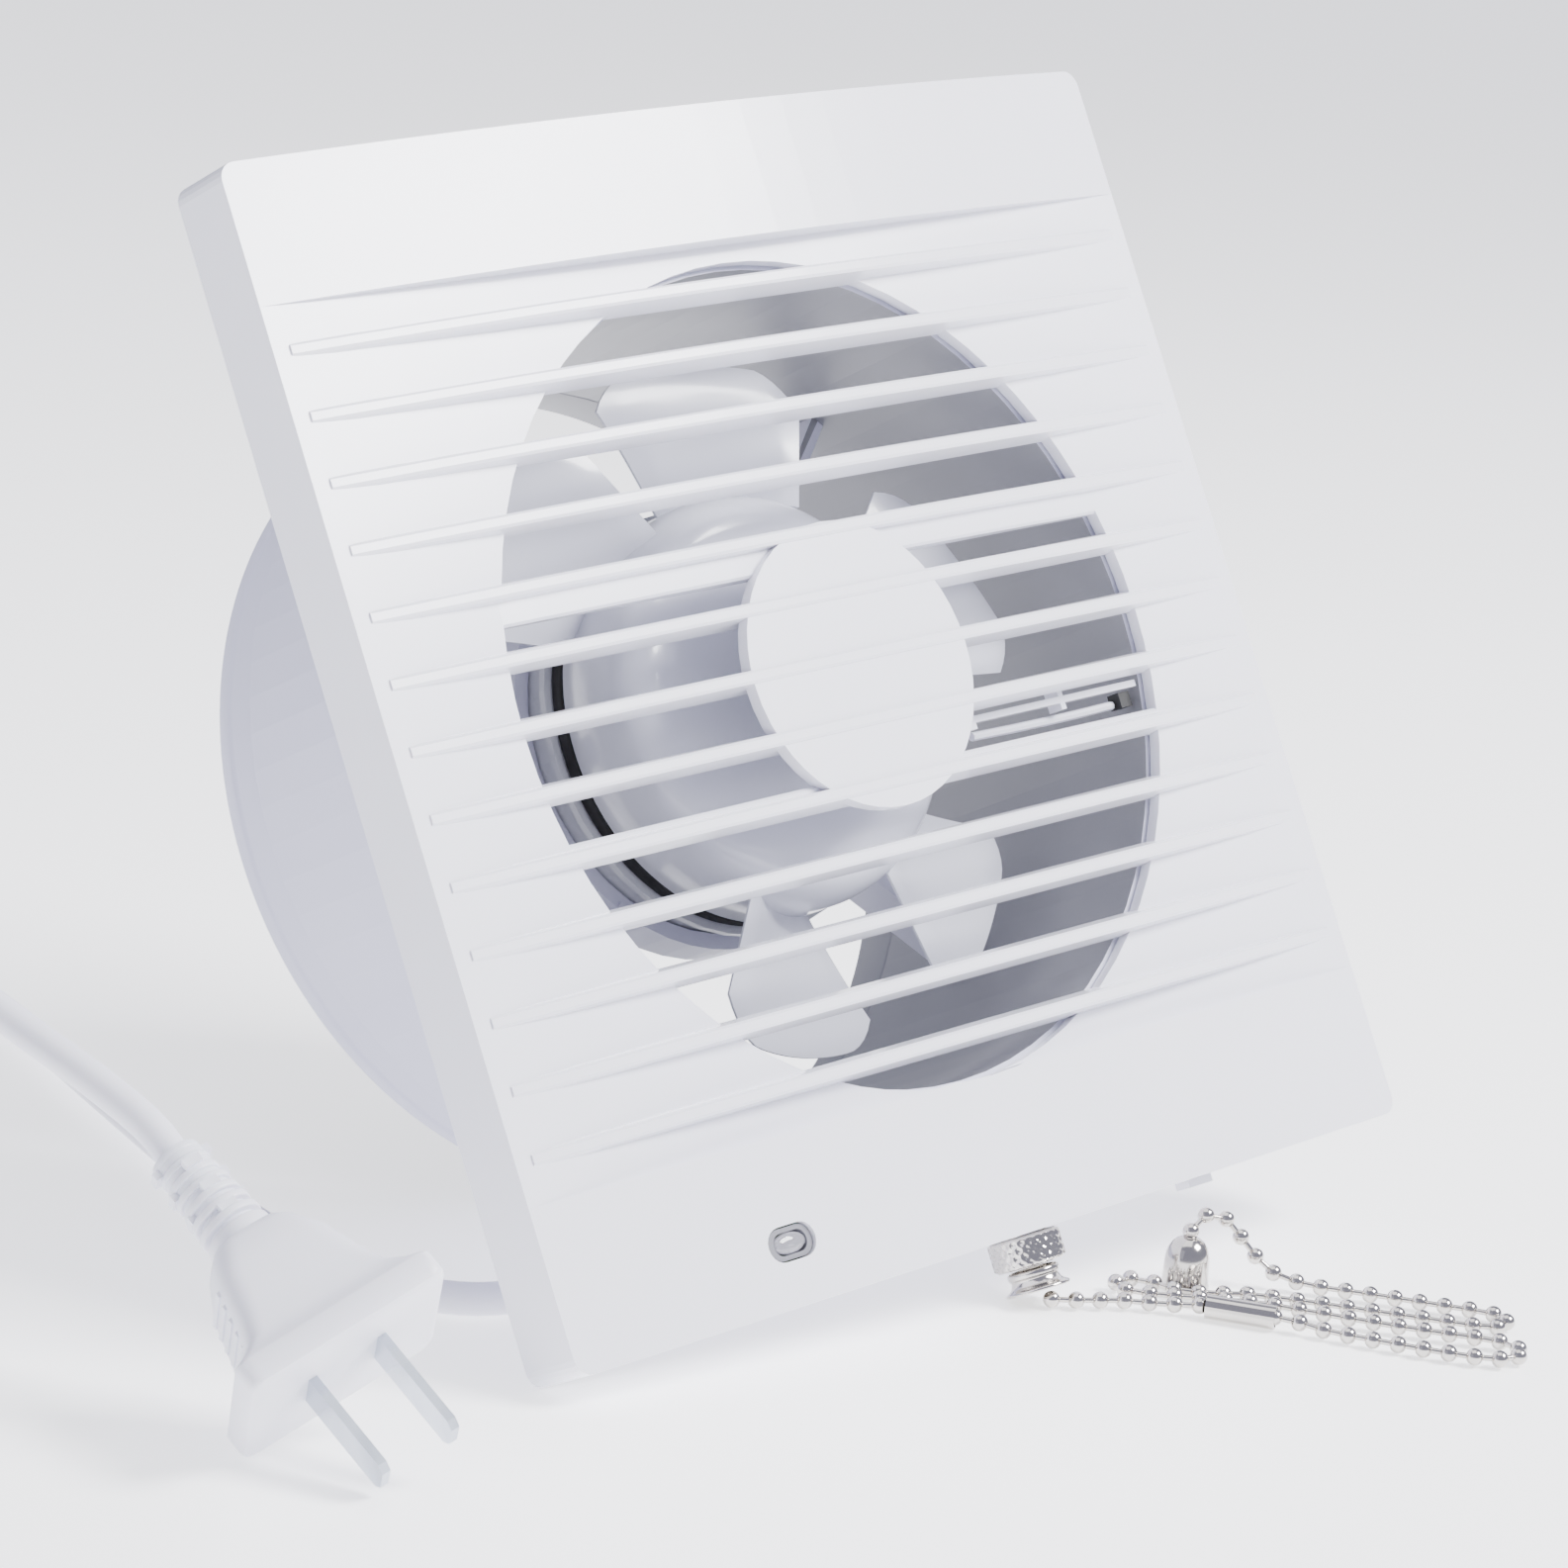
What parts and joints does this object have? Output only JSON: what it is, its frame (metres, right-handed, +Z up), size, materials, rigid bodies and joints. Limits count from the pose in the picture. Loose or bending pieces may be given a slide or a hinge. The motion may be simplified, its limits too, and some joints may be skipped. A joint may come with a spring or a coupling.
{
  "type": "bathroom extractor fan",
  "caption": "Square louvred wall or ceiling extractor fan with a round duct spigot, axial impeller, pull-chain switch, status lamp and mains cord with a flat-blade plug.",
  "frame": {"origin": "middle of the fan's footprint on the table, at table height, with the mains cord, its plug and the pull chain left out", "axes": "+Z up; -Y is the way the cover faces when seen from above; +X runs to the right along the cover. The fan leans back about 27 degrees on a bottom corner of its cover, its pull switch and its duct's rear rim, so the impeller axis is (0.0000, 0.8918, -0.4525)"},
  "size_m": [0.3165, 0.3589, 0.1997],
  "materials": {
    "abs_cover": "gloss moulded ABS",
    "abs_housing": "satin moulded ABS",
    "abs_impeller": "gloss moulded ABS",
    "abs_motor_cup": "satin moulded ABS",
    "nickel_plate": "bright nickel plate on brass",
    "zinc_plated_steel": "zinc plated",
    "lamination_steel": "stacked silicon steel",
    "enamelled_copper": "enamelled copper winding",
    "sintered_bronze": "oiled sintered bronze",
    "nylon": "moulded nylon",
    "nitrile_rubber": "black nitrile rubber",
    "grey_polycarbonate": "grey moulded polycarbonate",
    "clear_polycarbonate": "clear polycarbonate",
    "white_pvc": "satin white PVC",
    "phenolic_board": "phenolic paper board"
  },
  "bodies": {
    "base": {"bearing_bracket_front": "zinc_plated_steel", "bearing_bracket_rear": "zinc_plated_steel", "bearing_front": "sintered_bronze", "bearing_rear": "sintered_bronze", "chain_bell": "nickel_plate", "chain_connector": "nickel_plate", "coil_bobbin": "nylon", "cord_gland": "white_pvc", "cover_clip": "abs_cover", "cup_screw_1": "zinc_plated_steel", "cup_screw_2": "zinc_plated_steel", "front_grille": "abs_cover", "housing_screw_1": "zinc_plated_steel", "housing_screw_2": "zinc_plated_steel", "housing_screw_3": "zinc_plated_steel", "housing_screw_4": "zinc_plated_steel", "lead_grommet": "nitrile_rubber", "lead_support_bar": "abs_cover", "led_bezel": "grey_polycarbonate", "led_board": "phenolic_board", "led_lens": "clear_polycarbonate", "mains_cord_coil": "white_pvc", "mains_cord_fan_end": "white_pvc", "mains_cord_plug_end": "white_pvc", "motor_cup": "abs_motor_cup", "motor_lead": "white_pvc", "motor_screw_1": "zinc_plated_steel", "motor_screw_2": "zinc_plated_steel", "motor_seal_ring": "nitrile_rubber", "outlet_ring": "abs_housing", "plug_blade_1": "zinc_plated_steel", "plug_blade_2": "zinc_plated_steel", "plug_body": "white_pvc", "plug_strain_relief": "white_pvc", "pull_chain": "nickel_plate", "pull_spring": "zinc_plated_steel", "rear_housing": "abs_housing", "stator_coil": "enamelled_copper", "stator_core": "lamination_steel", "switch_body": "grey_polycarbonate", "switch_mouth": "nickel_plate", "switch_nut": "nickel_plate", "switch_sleeve": "nickel_plate", "terminal_block": "nylon", "terminal_screw_1": "zinc_plated_steel", "terminal_screw_2": "zinc_plated_steel"},
    "impeller": {"impeller": "abs_impeller", "impeller_nut": "zinc_plated_steel", "thrust_washer": "zinc_plated_steel", "motor_shaft": "zinc_plated_steel", "rotor": "lamination_steel"},
    "pull": {"pull_plunger": "nickel_plate"}
  },
  "joints": [
    {"name": "impeller_spin", "type": "hinge", "parent": "base", "child": "impeller", "pos_m": [0, -0.02727, 0.10264], "axis": [0, 0.8918, -0.4525], "continuous": true},
    {"name": "pull_switch", "type": "slide", "parent": "base", "child": "pull", "axis": [0.0947, -0.4505, -0.8878], "range_m": [0, 0.005], "stiffness_N_per_m": 300, "deforming": ["pull_spring"]}
  ]
}
